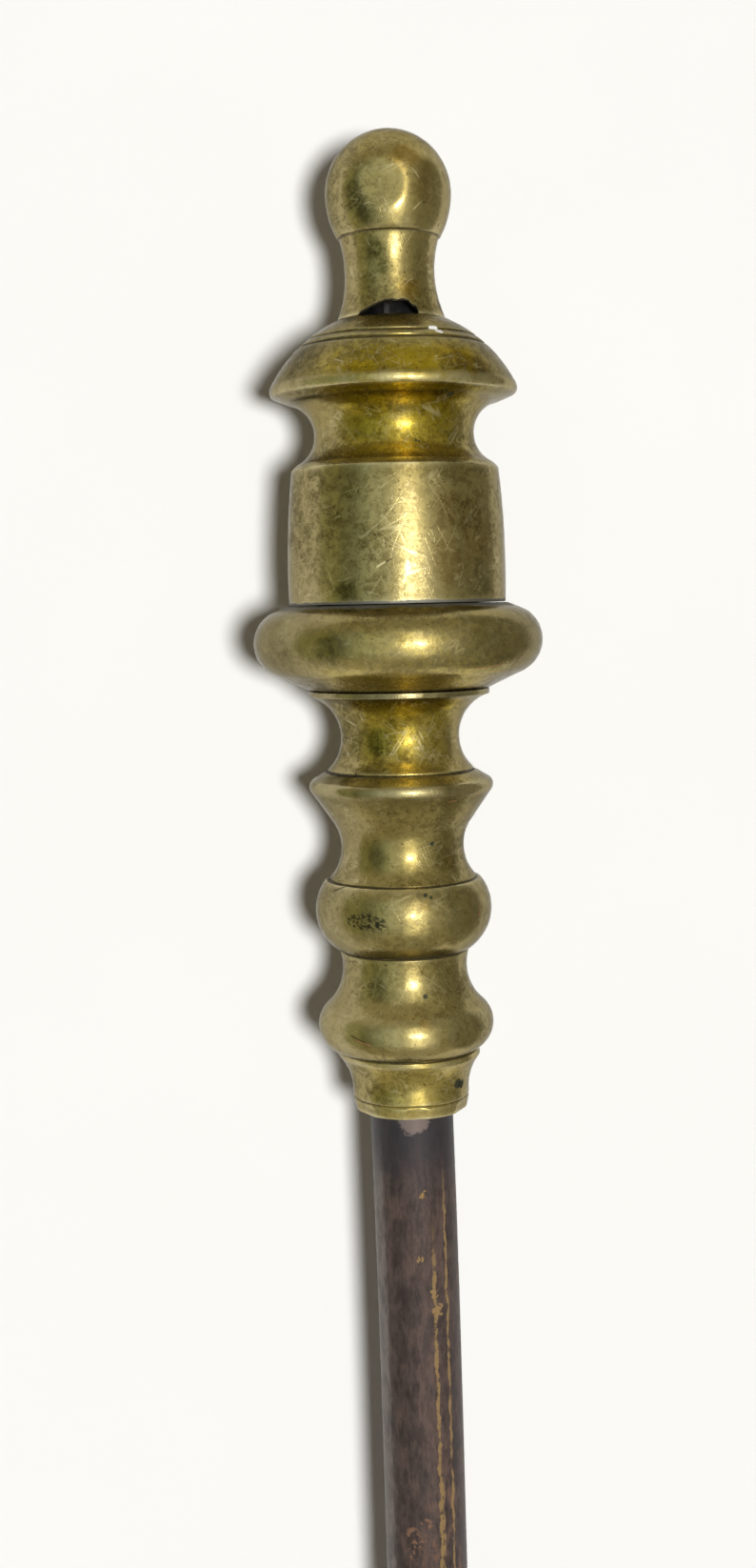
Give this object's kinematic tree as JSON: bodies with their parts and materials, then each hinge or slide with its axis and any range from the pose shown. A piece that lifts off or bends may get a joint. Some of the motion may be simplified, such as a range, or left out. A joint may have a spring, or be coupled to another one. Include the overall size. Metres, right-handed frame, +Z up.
{
  "type": "fireplace shovel",
  "caption": "Hearth shovel with a turned brass baluster handle and ball knob, a round iron shaft and a shallow raised iron pan riveted to its flattened end.",
  "frame": {"origin": "middle of the shovel's footprint, on the surface it lies on", "axes": "+Y along the shaft from the pan to the knob, +Z up from the surface it lies on, X across the pan"},
  "size_m": [0.1268, 0.7484, 0.0433],
  "materials": {
    "aged_brass": "turned and worn, with olive-brown tarnish in the hollows",
    "brown_iron": "brown-black forged patina with golden rust streaks",
    "dark_iron": "dull black, fire-darkened sheet and forged iron"
  },
  "bodies": {
    "root": {"finial_knob": "aged_brass", "tang_nut": "dark_iron", "cap_barrel": "aged_brass", "torus_ring": "aged_brass", "baluster_stem": "aged_brass", "shaft": "brown_iron", "pan": "dark_iron", "pan_rivets": "dark_iron"}
  },
  "joints": []
}
